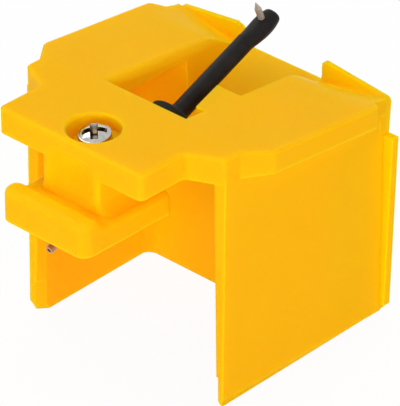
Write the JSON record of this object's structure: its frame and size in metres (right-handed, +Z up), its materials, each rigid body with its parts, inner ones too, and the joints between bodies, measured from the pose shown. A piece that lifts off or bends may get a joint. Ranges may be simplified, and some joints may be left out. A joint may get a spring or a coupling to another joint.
{
  "type": "turntable replacement stylus",
  "caption": "Replacement stylus for a turntable cartridge: open-bottomed yellow moulded holder with grip tab, clamp screw and a sprung black cantilever carrying a diamond needle.",
  "frame": {"origin": "middle of the outline seen from above, at the lower edge of the side walls", "axes": "+Y towards the needle end along the length, +X across, +Z up; the part stands upside down, needle up, as in the picture"},
  "size_m": [0.0168, 0.0188, 0.0178],
  "materials": {
    "yellow_plastic": "translucent satin moulding",
    "screw_chrome": "polished",
    "copper_pin": "bright drawn",
    "wire_steel": "drawn",
    "damper_rubber": "matte",
    "cantilever_black": "satin black",
    "magnet_grey": "ground",
    "shank_steel": "ground",
    "diamond": "polished"
  },
  "bodies": {
    "holder": {"stylus_holder": "yellow_plastic", "clamp_screw": "screw_chrome", "anchor_pin": "copper_pin", "suspension_wire": "wire_steel"},
    "damper": {"damper": "damper_rubber"},
    "cantilever": {"cantilever": "cantilever_black", "magnet": "magnet_grey", "stylus_shank": "shank_steel", "diamond_tip": "diamond"}
  },
  "joints": [
    {"name": "lateral_swing", "type": "hinge", "parent": "holder", "child": "damper", "pos_m": [0, 0.00034, 0.01329], "axis": [0, -0.3859, 0.9225], "range_deg": [-3, 3], "stiffness_Nm_per_rad": 0.0032},
    {"name": "vertical_swing", "type": "hinge", "parent": "damper", "child": "cantilever", "pos_m": [0, 0.00034, 0.01329], "axis": [1, 0, 0], "range_deg": [-3, 3], "stiffness_Nm_per_rad": 0.0032}
  ]
}
